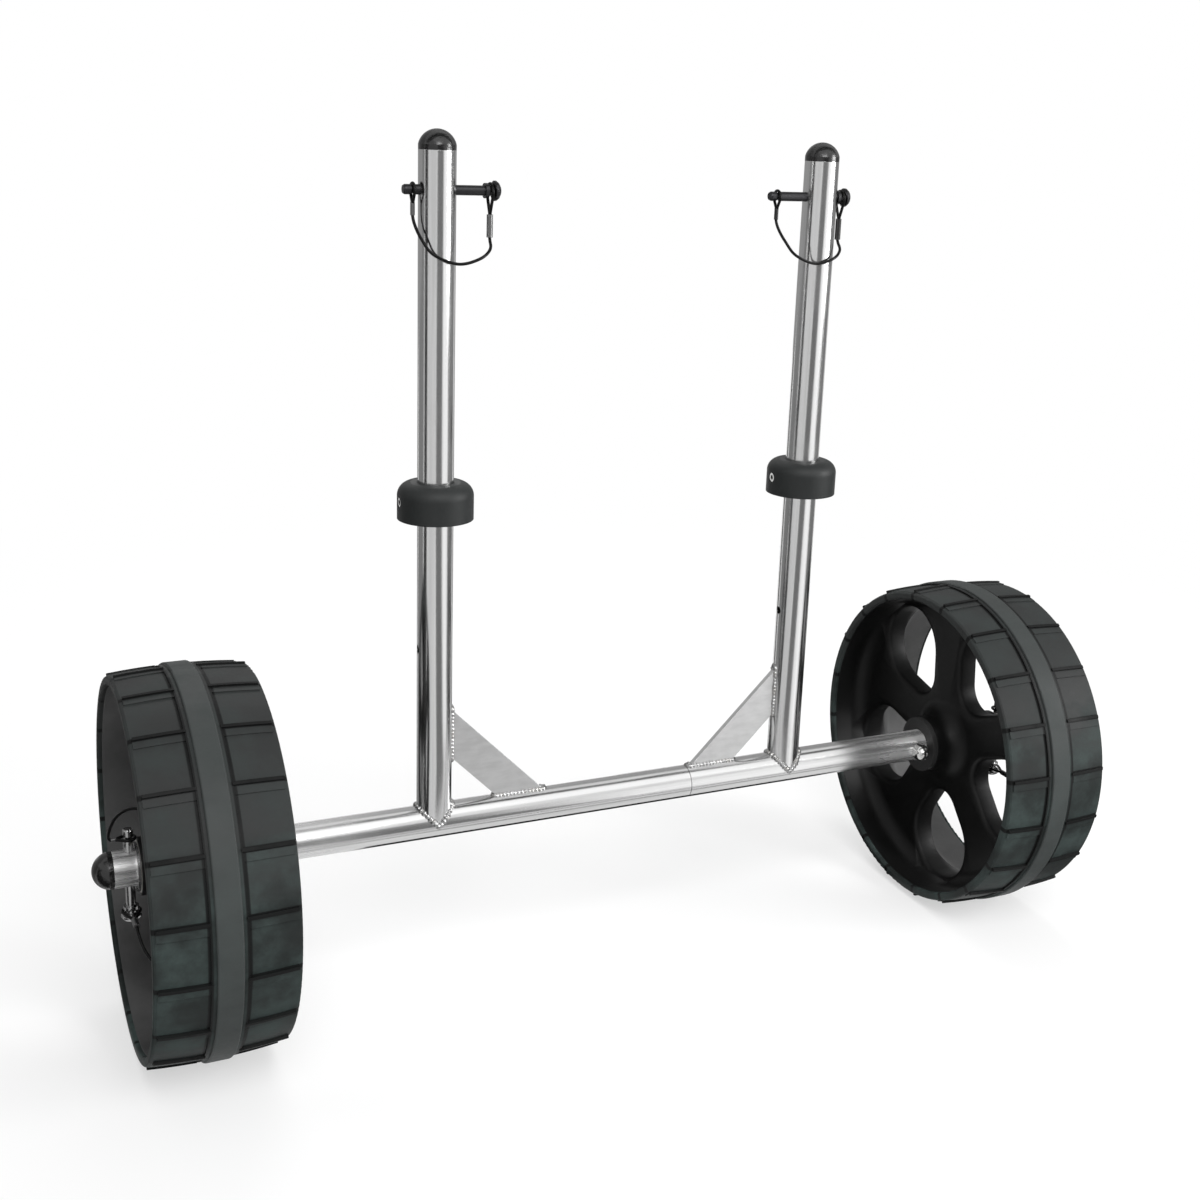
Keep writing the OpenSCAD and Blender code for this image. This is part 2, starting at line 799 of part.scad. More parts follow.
axle_tube();
post(-1);  // left_post
post(1);  // right_post
gusset(-1);  // left_gusset
gusset(1);  // right_gusset
post_cap(-1);  // left_post_cap
post_cap(1);  // right_post_cap
axle_cap(-1);  // left_axle_cap
axle_cap(1);  // right_axle_cap
stop_bolts();
stop_nuts();
inner_discs();
outer_washers();
collar(-1);  // left_collar
collar(1);  // right_collar
collar_screw(-1);  // left_collar_screw
collar_screw(1);  // right_collar_screw
wheel_core(-1);  // left_wheel_core
wheel_core(1);  // right_wheel_core
tread(-1);  // left_tread
tread(1);  // right_tread
hub_bushes(-1);  // left_hub_bushes
hub_bushes(1);  // right_hub_bushes
post_pin(-1);  // left_post_pin
post_pin(1);  // right_post_pin
axle_pin(-1);  // left_axle_pin
axle_pin(1);  // right_axle_pin
post_lanyard(-1);  // left_post_lanyard
post_lanyard(1);  // right_post_lanyard
axle_lanyard(-1);  // left_axle_lanyard
axle_lanyard(1);  // right_axle_lanyard
post_eyes(-1);  // left_post_eyes
post_eyes(1);  // right_post_eyes
axle_eyes(-1);  // left_axle_eyes
axle_eyes(1);  // right_axle_eyes
post_ferrules(-1);  // left_post_ferrules
post_ferrules(1);  // right_post_ferrules
axle_ferrules(-1);  // left_axle_ferrules
axle_ferrules(1);  // right_axle_ferrules
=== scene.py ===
"""Looks of a two-wheeled kayak cart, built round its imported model.

Lengths are in metres in the model's own frame: X along the axle, Y to the back, Z up.
"""
import logging
import math
from dataclasses import dataclass, field
from enum import Enum
from typing import Any, Callable, ClassVar, Iterable, Sequence

import bmesh
import bpy
from mathutils import Matrix, Vector


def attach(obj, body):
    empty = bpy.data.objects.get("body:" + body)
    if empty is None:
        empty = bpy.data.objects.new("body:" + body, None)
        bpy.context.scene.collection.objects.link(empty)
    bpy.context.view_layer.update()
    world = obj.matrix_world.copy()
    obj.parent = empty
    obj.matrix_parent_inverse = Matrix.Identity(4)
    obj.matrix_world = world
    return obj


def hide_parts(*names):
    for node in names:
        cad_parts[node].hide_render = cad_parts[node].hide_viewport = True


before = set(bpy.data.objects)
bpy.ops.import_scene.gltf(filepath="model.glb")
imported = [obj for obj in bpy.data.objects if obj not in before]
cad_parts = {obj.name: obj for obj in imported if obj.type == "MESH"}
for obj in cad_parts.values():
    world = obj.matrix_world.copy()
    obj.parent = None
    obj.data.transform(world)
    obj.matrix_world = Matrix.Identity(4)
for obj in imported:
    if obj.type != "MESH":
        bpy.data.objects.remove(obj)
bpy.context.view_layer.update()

log = logging.getLogger("kayak_cart")

Point = tuple[float, float, float]
Flat = tuple[float, float]
Colour = tuple[float, float, float]

TUBE_R = 0.015
POST_X = 0.175
AXLE_Z = 0.161
PIN_Z = 0.697
TRACK = 0.762
AXLE_PIN_X = 0.430
LUGS = 20
LUG_TURN = math.radians(100.0)
CABLE_D = 0.0025
CABLE_STEPS = 6
CABLE_ROUNDNESS = 5
WHITE = (1.0, 1.0, 1.0, 1.0)


class Side(Enum):
    """The two ends of the cart, with the sign of X on each."""

    LEFT = -1
    RIGHT = 1

    @property
    def label(self) -> str:
        """Word that starts the names of the pieces on this side.

        Returns:
            The word, left or right.
        """
        return self.name.lower()

    def mirrored(self, point: Sequence[float]) -> Point:
        """Carries a point drawn for the right side to this side.

        Args:
            point: The point on the right side.

        Returns:
            The same point on this side.
        """
        return (self.value * point[0], point[1], point[2])


class Grain(Enum):
    """Direction in which a metal was drawn or brushed."""

    ALONG_X = (0.02, 1.0, 1.0)
    ALONG_Z = (1.0, 1.0, 0.02)
    FLAT = (0.35, 1.0, 1.0)
    NONE = (1.0, 1.0, 1.0)


def arithmetic(operation: str, swapped: bool = False) -> Callable[..., "Wire"]:
    """Makes a method that puts a wire through a Math node.

    Args:
        operation: Blender's name for the operation.
        swapped: Whether the wire comes after the other values.

    Returns:
        The method.
    """
    def method(wire: "Wire", *values: Any) -> "Wire":
        """Adds the node.

        Args:
            wire: The wire.
            values: The other inputs, wires or numbers.

        Returns:
            The wire of the result.
        """
        inputs = (*values, wire) if swapped else (wire, *values)
        settings = {"operation": operation}
        return wire.graph.node("ShaderNodeMath", settings, dict(enumerate(inputs)))

    return method


class Wire:
    """A shader socket that takes part in Python expressions."""

    __add__ = __radd__ = arithmetic("ADD")
    __sub__ = arithmetic("SUBTRACT")
    __rsub__ = arithmetic("SUBTRACT", swapped=True)
    __mul__ = __rmul__ = arithmetic("MULTIPLY")
    __truediv__ = arithmetic("DIVIDE")
    __pow__ = arithmetic("POWER")
    __abs__ = arithmetic("ABSOLUTE")
    # What stands above the whole number below.
    fraction = arithmetic("FRACT")
    # Angle in radians of a point, from its height, this wire, and its reach, the other.
    angle = arithmetic("ARCTAN2")

    def __init__(self, graph: "Graph", socket: bpy.types.NodeSocket) -> None:
        """Wraps a socket.

        Args:
            graph: The material graph that holds the socket.
            socket: The output socket itself.
        """
        self.graph = graph
        self.socket = socket

    def near(self, middle: float, inner: float, outer: float) -> "Wire":
        """Smooth mask that is 1 close to a value and 0 away from it.

        Args:
            middle: The value.
            inner: Distance from it up to which the mask is 1.
            outer: Distance from it beyond which the mask is 0.

        Returns:
            The wire of the mask.
        """
        return 1.0 - abs(self - middle).over(inner, outer)

    def over(self, low: float, high: float) -> "Wire":
        """Smooth mask that rises from 0 at one value to 1 at the other.

        Args:
            low: Value at which the mask is 0.
            high: Value at which the mask is 1.

        Returns:
            The wire of the mask.
        """
        settings = {"interpolation_type": "SMOOTHSTEP", "clamp": True}
        return self.graph.node("ShaderNodeMapRange", settings, {0: self, 1: low, 2: high})


class Graph:
    """A material's or a world's node tree, with one way to add a node."""

    def __init__(self, tree: bpy.types.NodeTree) -> None:
        """Starts from an empty tree.

        Args:
            tree: The node tree to fill.
        """
        self.tree = tree
        tree.nodes.clear()

    def node(
        self, kind: str, settings: dict[str, Any], inputs: dict[Any, Any], out: Any = 0
    ) -> Wire:
        """Adds a node.

        Args:
            kind: The node's type.
            settings: Its properties, which are set before its inputs.
            inputs: Values or wires by the socket's name or number.
            out: The output socket that is wanted, by name or number.

        Returns:
            The wire of that output.
        """
        made = self.tree.nodes.new(kind)
        for name, value in settings.items():
            setattr(made, name, value)
        for name, value in inputs.items():
            if isinstance(value, Wire):
                self.tree.links.new(value.socket, made.inputs[name])
            else:
                made.inputs[name].default_value = value
        return Wire(self, made.outputs[out]) if made.outputs else Wire(self, None)

    def place(self, scale: Sequence[float] = (1.0, 1.0, 1.0)) -> Wire:
        """Position on the object in metres, times a scale along each axis.

        Args:
            scale: The three scales.

        Returns:
            The wire of the scaled position.
        """
        here = self.node("ShaderNodeTexCoord", {}, {}, "Object")
        return self.node("ShaderNodeMapping", {}, {"Vector": here, "Scale": tuple(scale)})

    def axes(self) -> tuple[Wire, Wire, Wire]:
        """X, Y and Z of the position on the object in metres.

        Returns:
            Their three wires.
        """
        here = self.place()
        return tuple(self.node("ShaderNodeSeparateXYZ", {}, {0: here}, axis) for axis in range(3))

    def rounded(self, radius: float) -> Wire:
        """Normal that runs smoothly over edges.

        Args:
            radius: Radius of the rounding in metres.

        Returns:
            The wire of the normal.
        """
        return self.node("ShaderNodeBevel", {"samples": 4}, {"Radius": radius})

    def noise(self, at: Wire, scale: float, detail: float = 3.0, rough: float = 0.55) -> Wire:
        """Fractal noise from 0 to 1.

        Args:
            at: Where it is read.
            scale: Cells in a metre.
            detail: Number of octaves.
            rough: Share that each octave keeps.

        Returns:
            The wire of the noise.
        """
        inputs = {"Vector": at, "Scale": scale, "Detail": detail, "Roughness": rough}
        return self.node("ShaderNodeTexNoise", {}, inputs)

    def mix(self, factor: Any, first: Any, second: Any) -> Wire:
        """Colour between two colours.

        Args:
            factor: Share of the second.
            first: Colour at 0.
            second: Colour at 1.

        Returns:
            The wire of the colour.
        """
        settings = {"data_type": "RGBA"}
        return self.node("ShaderNodeMix", settings, {0: factor, 6: first, 7: second}, 2)

    def bump(
        self, height: Wire, strength: float, distance: float, normal: Wire | None = None
    ) -> Wire:
        """Normal bent by a height.

        Args:
            height: The height from 0 to 1.
            strength: Share of the effect.
            distance: Height of 1 in metres.
            normal: A normal to start from.

        Returns:
            The wire of the normal.
        """
        inputs: dict[Any, Any] = {"Height": height, "Strength": strength, "Distance": distance}
        if normal is not None:
            inputs["Normal"] = normal
        return self.node("ShaderNodeBump", {}, inputs)


def rgba(colour: Colour, factor: float = 1.0) -> tuple[float, float, float, float]:
    """Makes a colour lighter or darker, with full alpha.

    Args:
        colour: Red, green and blue.
        factor: What each is multiplied by.

    Returns:
        The new colour with an alpha of 1.
    """
    return (colour[0] * factor, colour[1] * factor, colour[2] * factor, 1.0)


def new_material(name: str) -> tuple[bpy.types.Material, Graph]:
    """Makes a material without nodes.

    Args:
        name: Its name.

    Returns:
        The material and its empty graph.
    """
    made = bpy.data.materials.new(name)
    made.use_nodes = True
    return made, Graph(made.node_tree)


@dataclass(frozen=True)
class Finish:
    """A surface finish, made into a material once and shared."""

    name: str
    colour: Colour
    rough: float

    def build(self) -> bpy.types.Material:
        """Makes the material.

        Returns:
            The new material.
        """
        made, graph = new_material(self.name)
        made.diffuse_color = rgba(self.colour)
        graph.node("ShaderNodeOutputMaterial", {}, {"Surface": self.shader(graph)})
        return made

    def shader(self, graph: Graph) -> Wire:
        """Adds this finish's nodes.

        Args:
            graph: The material's graph.

        Returns:
            The wire of its shader.
        """
        raise NotImplementedError

    def stain(self, graph: Graph, colour: Wire) -> Wire:
        """Adds the marks that only one kind of piece has.

        Args:
            graph: The material's graph.
            colour: The colour without them.

        Returns:
            The colour with them, here as it was.
        """
        return colour


@dataclass(frozen=True)
class Steel(Finish):
    """Bright stainless steel with fine lines along its grain and faint clouds of handling."""

    grain: Grain = Grain.NONE
    line_depth: float = 0.00001
    rough_spread: float = 0.10
    soil: float = 0.12
    edge_r: float = 0.0004
    line_scale: float = 900.0
    streak_scale: float = 160.0
    cloud_scale: float = 14.0
    dull_span: Flat = (0.52, 0.78)
    dull_rough: float = 0.08
    satin_rough: float = 0.16
    satin_loss: float = 0.5

    def rubbed(self, graph: Graph) -> Wire | float:
        """Share of the surface that is rubbed from bright to satin.

        Args:
            graph: The material's graph.

        Returns:
            The share, here none.
        """
        return 0.0

    def shader(self, graph: Graph) -> Wire:
        """Brushed lines vary the tint, gloss and relief; clouds dull patches of it.

        Args:
            graph: The material's graph.

        Returns:
            The wire of its shader.
        """
        drawn = graph.place(self.grain.value)
        lines = graph.noise(drawn, self.line_scale, 4.0, 0.65)
        streaks = graph.noise(drawn, self.streak_scale, 3.0, 0.6)
        clouds = graph.noise(graph.place(), self.cloud_scale, 4.0, 0.6)
        patches = clouds.over(*self.dull_span)
        tint = graph.mix(streaks.over(0.3, 0.7), rgba(self.colour, 0.92), rgba(self.colour, 1.05))
        soiled = graph.mix(patches * self.soil, tint, rgba(self.colour, 0.55))
        satin = self.rubbed(graph)
        brushed = self.rough + (lines - 0.5) * self.rough_spread
        rough = brushed + patches * self.dull_rough + satin * self.satin_rough
        relief = lines * 0.6 + streaks * 0.4
        inputs = {
            "Base Color": self.stain(graph, soiled),
            "Metallic": 1.0 - satin * self.satin_loss,
            "Roughness": rough,
            "Normal": graph.bump(relief, 0.5, self.line_depth, graph.rounded(self.edge_r)),
        }
        return graph.node("ShaderNodeBsdfPrincipled", {}, inputs)


@dataclass(frozen=True)
class AxleSteel(Steel):
    """Steel of the axle: a faint joint line, and ends rubbed satin beside the wheels."""

    seam_x: float = 0.070
    seam_w: float = 0.0006
    rubbed_from: float = 0.200
    rubbed_to: float = 0.350
    rubbed_scale: float = 210.0
    rubbed_least: float = 0.35
    seam_share: float = 0.7

    def rubbed(self, graph: Graph) -> Wire:
        """Satin lines that grow from beside each post to the axle's end.

        Args:
            graph: The material's graph.

        Returns:
            The share that is satin.
        """
        lines = graph.noise(graph.place(self.grain.value), self.rubbed_scale, 2.0, 0.5)
        share = self.rubbed_least + (1 - self.rubbed_least) * lines.over(0.40, 0.60)
        return abs(graph.axes()[0]).over(self.rubbed_from, self.rubbed_to) * share

    def stain(self, graph: Graph, colour: Wire) -> Wire:
        """Darkens the joint line.

        Args:
            graph: The material's graph.
            colour: The colour without it.

        Returns:
            The colour with it.
        """
        seam = graph.axes()[0].near(self.seam_x, self.seam_w / 2, self.seam_w)
        return graph.mix(seam * self.seam_share, colour, rgba(self.colour, 0.2))


@dataclass(frozen=True)
class WeldSteel(Steel):
    """Weld bead with the heat's straw and grey tint and tiny pits."""

    pit_scale: float = 900.0
    straw_scale: float = 120.0
    straw_colour: Colour = (0.42, 0.38, 0.31)

    def stain(self, graph: Graph, colour: Wire) -> Wire:
        """Tints and pits the bead.

        Args:
            graph: The material's graph.
            colour: The colour without them.

        Returns:
            The colour with them.
        """
        pits = graph.noise(graph.place(), self.pit_scale, 2.0, 0.6).over(0.55, 0.7)
        straw = graph.noise(graph.place(), self.straw_scale, 2.0, 0.5).over(0.45, 0.65)
        warm = graph.mix(straw * 0.2, colour, rgba(self.straw_colour))
        return graph.mix(pits * 0.8, warm, rgba(self.colour, 0.08))


@dataclass(frozen=True)
class Moulding(Finish):
    """Moulded rubber or plastic with a fine skin, faint flow marks and pale dust."""

    dust_colour: Colour = (0.10, 0.105, 0.10)
    dust: float = 0.3
    grain_size: float = 1800.0
    grain_depth: float = 0.00006
    flow_size: float = 45.0
    flow_depth: float = 0.0002
    rough_spread: float = 0.12
    specular: float = 0.3
    coat: float = 0.0
    edge_r: float = 0.0007
    cloud_scale: float = 22.0
    cloud_span: Flat = (0.36, 0.72)
    fine_scale: float = 260.0
    upward_span: Flat = (-0.2, 0.9)
    coat_rough: float = 0.12

    def shader(self, graph: Graph) -> Wire:
        """Dust gathers in clouds on upward faces, and the skin is finely grained.

        Args:
            graph: The material's graph.

        Returns:
            The wire of its shader.
        """
        here = graph.place()
        skin = graph.noise(here, self.grain_size, 2.0, 0.6)
        flow = graph.noise(graph.place((0.5, 1.0, 1.0)), self.flow_size, 3.0, 0.55)
        clouds = graph.noise(here, self.cloud_scale, 5.0, 0.62)
        fine = graph.noise(here, self.fine_scale, 3.0, 0.6)
        geometry = graph.node("ShaderNodeNewGeometry", {}, {}, "Normal")
        up = graph.node("ShaderNodeSeparateXYZ", {}, {0: geometry}, 2)
        facing = up.over(*self.upward_span) * 0.5 + 0.5
        settled = facing * clouds.over(*self.cloud_span) * (0.6 + fine * 0.8)
        mask = settled * self.dust
        body = graph.mix(flow, rgba(self.colour, 0.85), rgba(self.colour, 1.15))
        relief = graph.bump(flow, 0.5, self.flow_depth, graph.rounded(self.edge_r))
        inputs = {
            "Base Color": self.stain(graph, graph.mix(mask, body, rgba(self.dust_colour))),
            "Roughness": self.rough + (fine - 0.5) * self.rough_spread + mask * 0.3,
            "Specular IOR Level": self.specular,
            "Coat Weight": self.coat, "Coat Roughness": self.coat_rough,
            "Normal": graph.bump(skin, 0.6, self.grain_depth, relief),
        }
        return graph.node("ShaderNodeBsdfPrincipled", {}, inputs)


@dataclass(frozen=True)
class CorePlastic(Moulding):
    """Black plastic of a wheel's core, with painted light: paler in patches inside its outer dish.
    """

    dish_light_colour: Colour = (0.078, 0.078, 0.078)
    dish_from: float = 0.122
    dish_to: float = 0.142
    web_span: Flat = (0.002, 0.012)
    patch_scale: float = 30.0

    def stain(self, graph: Graph, colour: Wire) -> Wire:
        """Paints light on the inside of the rim beyond the web, paler in patches.

        Args:
            graph: The material's graph.
            colour: The colour without it.

        Returns:
            The colour with it.
        """
        x, y, z = graph.axes()
        height = z - AXLE_Z
        reach = (y * y + height * height) ** 0.5
        outward = (abs(x) - TRACK / 2).over(*self.web_span)
        patches = graph.noise(graph.place(), self.patch_scale, 4.0, 0.6)
        # Painted light: paler patches inside the outer dish, beyond the web.
        dish_light = reach.over(self.dish_from, self.dish_to) * outward * (0.5 + 0.6 * patches)
        return graph.mix(dish_light, colour, rgba(self.dish_light_colour))


@dataclass(frozen=True)
class TreadRubber(Moulding):
    """Rubber of a tread: paler on the band, with painted shade: black on the lugs and in the band's
    corners, darker and greyer towards the top.
    """

    band_half: float = 0.010
    band_soft: float = 0.0004
    step_edge: float = 0.0142
    step_soft: float = 0.0006
    corner_shade_span: Flat = (0.0012, 0.0024)
    # Half width and softness of the painted shade line along each lug.
    lug_shade_half: float = 0.0017
    lug_shade_soft: float = 0.0010
    tread_r: float = 0.158
    # Painted shade on the tread's top: the height where it starts, and how soft and wavy its edge
    # is.
    top_shade_height: float = 0.200
    top_shade_soft: float = 0.06
    top_shade_wave: float = 0.16
    top_shade_scale: float = 40.0
    worn_scale: float = 60.0
    worn_colour: Colour = (0.042, 0.047, 0.046)
    top_shade_colour: Colour = (0.021, 0.0215, 0.0215)
    corner_shade_colour: Colour = (0.0012, 0.0014, 0.0014)

    def stain(self, graph: Graph, colour: Wire) -> Wire:
        """Greys the band, and paints shade: black on the lugs and in the band's corners, darker and
        greyer towards the top.

        Args:
            graph: The material's graph.
            colour: The colour without them.

        Returns:
            The colour with them.
        """
        x, y, z = graph.axes()
        pitch = 2 * math.pi / LUGS
        across = abs(abs(x) - TRACK / 2)
        turns = ((z - AXLE_Z).angle(y) - LUG_TURN) / pitch
        from_lug = abs((turns + 0.5).fraction() - 0.5) * (pitch * self.tread_r)
        beside = across.over(self.step_edge - self.step_soft, self.step_edge)
        # Painted shade: a black line along each lug, beside the band.
        lug_shade = (1.0 - from_lug.over(self.lug_shade_half, self.lug_shade_half + self.lug_shade_soft)) * beside
        # Painted shade: black in the corner of the step beside the band.
        corner = across.near(self.step_edge, *self.corner_shade_span)
        worn = 1.0 - across.over(self.band_half - self.band_soft, self.band_half + self.band_soft)
        patches = graph.noise(graph.place((0.4, 1.0, 1.0)), self.worn_scale, 4.0, 0.6)
        # Painted shade: above a wavy height the tread is painted darker and greyer.
        clouds = graph.noise(graph.place((0.3, 1.0, 1.0)), self.top_shade_scale, 4.0, 0.6)
        height = z + (clouds - 0.5) * self.top_shade_wave
        grey = height.over(self.top_shade_height - self.top_shade_soft, self.top_shade_height + self.top_shade_soft)
        top_shaded = graph.mix(grey * 0.8, colour, rgba(self.top_shade_colour))
        paled = graph.mix(worn * (0.45 + patches * 0.5), top_shaded, rgba(self.worn_colour))
        # Painted shade colour of the lugs and of the band's corners.
        painted_black = rgba(self.corner_shade_colour)
        return graph.mix(corner * 0.9, graph.mix(lug_shade * 0.95, paled, painted_black), painted_black)


TUBE_COLOUR = (0.62, 0.62, 0.62)

FINISHES = {finish.name: finish for finish in (
    Steel("post_steel", TUBE_COLOUR, 0.17, Grain.ALONG_Z),
    AxleSteel("axle_steel", TUBE_COLOUR, 0.17, Grain.ALONG_X),
    Steel("gusset_steel", (0.54, 0.54, 0.54), 0.46, Grain.FLAT, 0.00002, 0.14),
    Steel("bolt_steel", (0.62, 0.62, 0.61), 0.16),
    Steel("washer_steel", (0.55, 0.55, 0.55), 0.26),
    WeldSteel("weld_steel", (0.42, 0.42, 0.42), 0.26, Grain.NONE, 0.0004, 0.2, 0.3),
    Steel("pin_steel", (0.045, 0.045, 0.047), 0.30, Grain.NONE, 0.00002, 0.12, 0.3),
    Steel("axle_pin_steel", (0.36, 0.36, 0.36), 0.22),
    Steel("ferrule_metal", (0.16, 0.16, 0.16), 0.36, Grain.ALONG_Z, 0.00004, 0.14, 0.3),
    Steel("ferrule_black", (0.04, 0.04, 0.04), 0.40, Grain.ALONG_Z, 0.00004, 0.14, 0.3),
    Moulding("cap_plastic", (0.0035, 0.0035, 0.0035), 0.2, (0.02, 0.02, 0.02), 0.15,
             grain_depth=0.00001, flow_size=320.0, flow_depth=0.0008,
             rough_spread=0.06, specular=0.5, coat=0.15),
    Moulding("collar_rubber", (0.008, 0.0095, 0.0095), 0.5, (0.022, 0.024, 0.024), 0.4,
             edge_r=0.0012),
    CorePlastic("core_plastic", (0.0030, 0.0030, 0.0030), 0.40, (0.007, 0.007, 0.007), 0.30,
                specular=0.20, edge_r=0.0015),
    TreadRubber("tread_rubber", (0.0095, 0.0125, 0.012), 0.55, (0.050, 0.072, 0.068), 0.9,
                specular=0.16, edge_r=0.0004),
    Moulding("disc_plastic", (0.016, 0.016, 0.016), 0.45, (0.04, 0.04, 0.04)),
    Moulding("bush_nylon", (0.42, 0.41, 0.38), 0.5, (0.3, 0.29, 0.27), 0.2),
    Moulding("cable_coat", (0.0015, 0.0015, 0.0015), 0.35, (0.006, 0.006, 0.006), 0.1,
             specular=0.15, grain_depth=0.00001, flow_depth=0.00002, edge_r=0.0001),
)}
MATERIALS: dict[str, bpy.types.Material] = {}


def new_object(name: str, data: bpy.types.ID) -> bpy.types.Object:
    """Makes an object and puts it in the scene.

    Args:
        name: Its name.
        data: Its mesh, curve, lamp or camera.

    Returns:
        The object.
    """
    made = bpy.data.objects.new(name, data)
    bpy.context.scene.collection.objects.link(made)
    return made


def material(name: str) -> bpy.types.Material:
    """Makes a finish's material the first time that it is asked for.

    Args:
        name: The finish's name.

    Returns:
        Its material.
    """
    if name not in MATERIALS:
        MATERIALS[name] = FINISHES[name].build()
    return MATERIALS[name]


def dress(node: str, finish: str) -> None:
    """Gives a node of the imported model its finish.

    Args:
        node: The node's name.
        finish: The finish's name.
    """
    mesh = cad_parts[node].data
    mesh.materials.clear()
    mesh.materials.append(material(finish))
    log.info("%s wears %s", node, finish)


def curve_through(
    stops: Sequence[Sequence[float]], out: Vector, into: Vector, steps: int
) -> list[Vector]:
    """Points on the smooth curve through a route's stops.

    Args:
        stops: The route's points.
        out: Direction in which it leaves the first stop.
        into: Direction in which it arrives at the last.
        steps: Points for each stretch between two stops.

    Returns:
        The points, both ends included.
    """
    path = [Vector(stop) for stop in stops]
    first = path[0] - out * (path[1] - path[0]).length
    last = path[-1] + into * (path[-1] - path[-2]).length
    path = [first, *path, last]
    points = []
    for i in range(1, len(path) - 2):
        a, b, c, d = path[i - 1:i + 3]
        for k in range(steps):
            t = k / steps
            points.append(0.5 * (
                2 * b + (c - a) * t + (2 * a - 5 * b + 4 * c - d) * t * t
                + (3 * b - a - 3 * c + d) * t ** 3
            ))
    return [*points, path[-2]]


def cable_curve(
    name: str, points: Sequence[Vector], diameter: float, finish: str
) -> bpy.types.Object:
    """A round cable along points, as one smooth open curve.

    Args:
        name: The new object's name.
        points: What it follows.
        diameter: Its thickness.
        finish: Its finish's name.

    Returns:
        The curve object.
    """
    data = bpy.data.curves.new(name, "CURVE")
    data.dimensions = "3D"
    data.resolution_u = CABLE_STEPS
    data.bevel_depth = diameter / 2
    data.bevel_resolution = CABLE_ROUNDNESS
    data.use_fill_caps = True
    spline = data.splines.new("BEZIER")
    spline.bezier_points.add(len(points) - 1)
    for i, (knot, point) in enumerate(zip(spline.bezier_points, points)):
        before = points[max(i - 1, 0)]
        after = points[min(i + 1, len(points) - 1)]
        slope = (after - before) / (2 if 0 < i < len(points) - 1 else 1)
        knot.co = point
        knot.handle_left_type = knot.handle_right_type = "FREE"
        knot.handle_left = point - slope / 3
        knot.handle_right = point + slope / 3
    data.materials.append(material(finish))
    return new_object(name, data)


def path_length(points: Sequence[Vector]) -> float:
    """Length of the line through points.

    Args:
        points: The points, in order.

    Returns:
        The length in metres.
    """
    return sum((b - a).length for a, b in zip(points, points[1:]))


@dataclass
class Lanyard:
    """The cable of a lock pin's lanyard, between its two ferrules."""

    side: Side
    part: ClassVar[str]
    lay: ClassVar[str]
    steps: ClassVar[int]
    leaving: ClassVar[Point]
    arriving: ClassVar[Point]

    def stops(self) -> list[Vector]:
        """Every stop of the route, from the pin's tip to its head.

        Returns:
            The stops in the cart's frame.
        """
        raise NotImplementedError

    def build(self) -> bpy.types.Object:
        """Returns:
            The cable.
        """
        name = f"{self.side.label}_{self.part}"
        out, into = (Vector(self.side.mirrored(way)) for way in (self.leaving, self.arriving))
        points = curve_through(self.stops(), out, into, self.steps)
        piece = cable_curve(f"{name}_cable", points, CABLE_D, "cable_coat")
        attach(piece, f"{name}_cord")
        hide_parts(f"{name}_lanyard")
        tuple(points[0])
        path_length(points)
        log.info("%s is %.1f mm long", piece.name, 1000 * path_length(points))
        return piece


@dataclass
class PostLanyard(Lanyard):
    """The cable that hangs from the two ends of a post's lock pin."""

    part, lay, steps = "post", "hanging", 3
    leaving, arriving = (0.0, 0.0, -1.0), (0.0, 0.0, 1.0)
    tip_x: float
    tip_eye_at: float = 0.008
    eye_gap: float = 0.064
    sleeve_end: float = 0.01975
    ferrule_end: float = 0.03645
    route: tuple[Point, ...] = (
        (0.001, -0.004, -0.028), (0.004, -0.012, -0.038), (0.012, -0.0175, -0.049),
        (0.032, -0.0175, -0.056), (0.050, -0.017, -0.052), (0.061, -0.010, -0.045),
    )

    def stops(self) -> list[Vector]:
        """Every stop of the route, from the pin's tip to its head.

        Returns:
            The stops in the cart's frame.
        """
        first = (0.0, 0.0, -self.sleeve_end)
        last = (self.eye_gap, 0.0, -self.ferrule_end)
        start = Vector((self.tip_x + self.tip_eye_at, 0.0, PIN_Z))
        return [start + Vector(stop) for stop in (first, *self.route, last)]


@dataclass
class AxleLanyard(Lanyard):
    """The cable that arches over the axle's end from the axle pin's tip to its head."""

    part, lay, steps = "axle", "loose", 2
    leaving, arriving = (1.0, 0.0, 0.0), (0.0, 1.0, 0.0)
    sleeve_end: float = 0.013
    ferrule_end: float = 0.029
    upper_eye: float = 0.026
    lower_eye: float = -0.038
    route: tuple[Point, ...] = (
        (0.015, -0.004, 0.033), (0.010, -0.012, 0.050), (-0.002, -0.023, 0.061),
        (-0.016, -0.038, 0.058), (-0.025, -0.054, 0.038), (-0.027, -0.062, 0.010),
        (-0.027, -0.063, -0.018), (-0.024, -0.061, -0.042), (-0.017, -0.057, -0.056),
        (-0.008, -0.050, -0.058), (-0.002, -0.040, -0.048),
    )

    def stops(self) -> list[Vector]:
        """Every stop of the route, from the pin's tip to its head.

        Returns:
            The stops in the cart's frame.
        """
        first = (self.sleeve_end, 0.0, self.upper_eye)
        last = (0.0, -self.ferrule_end, self.lower_eye)
        start = Vector((AXLE_PIN_X, 0.0, AXLE_Z))
        drawn = (first, *self.route, last)
        return [Vector(self.side.mirrored(start + Vector(stop))) for stop in drawn]


def skin(form: bmesh.types.BMesh, rings: Sequence[Sequence[Point]], closed: bool) -> list:
    """Joins rings of points by faces.

    Args:
        form: The mesh that takes them.
        rings: Rings with as many points each, in order.
        closed: Whether the last ring joins the first.

    Returns:
        The rings' vertices.
    """
    rows = [[form.verts.new(point) for point in ring] for ring in rings]
    for row, following in zip(rows, rows[1:] + rows[:1] if closed else rows[1:]):
        for k in range(len(row)):
            after = (k + 1) % len(row)
            form.faces.new((row[k], row[after], following[after], following[k]))
    return rows


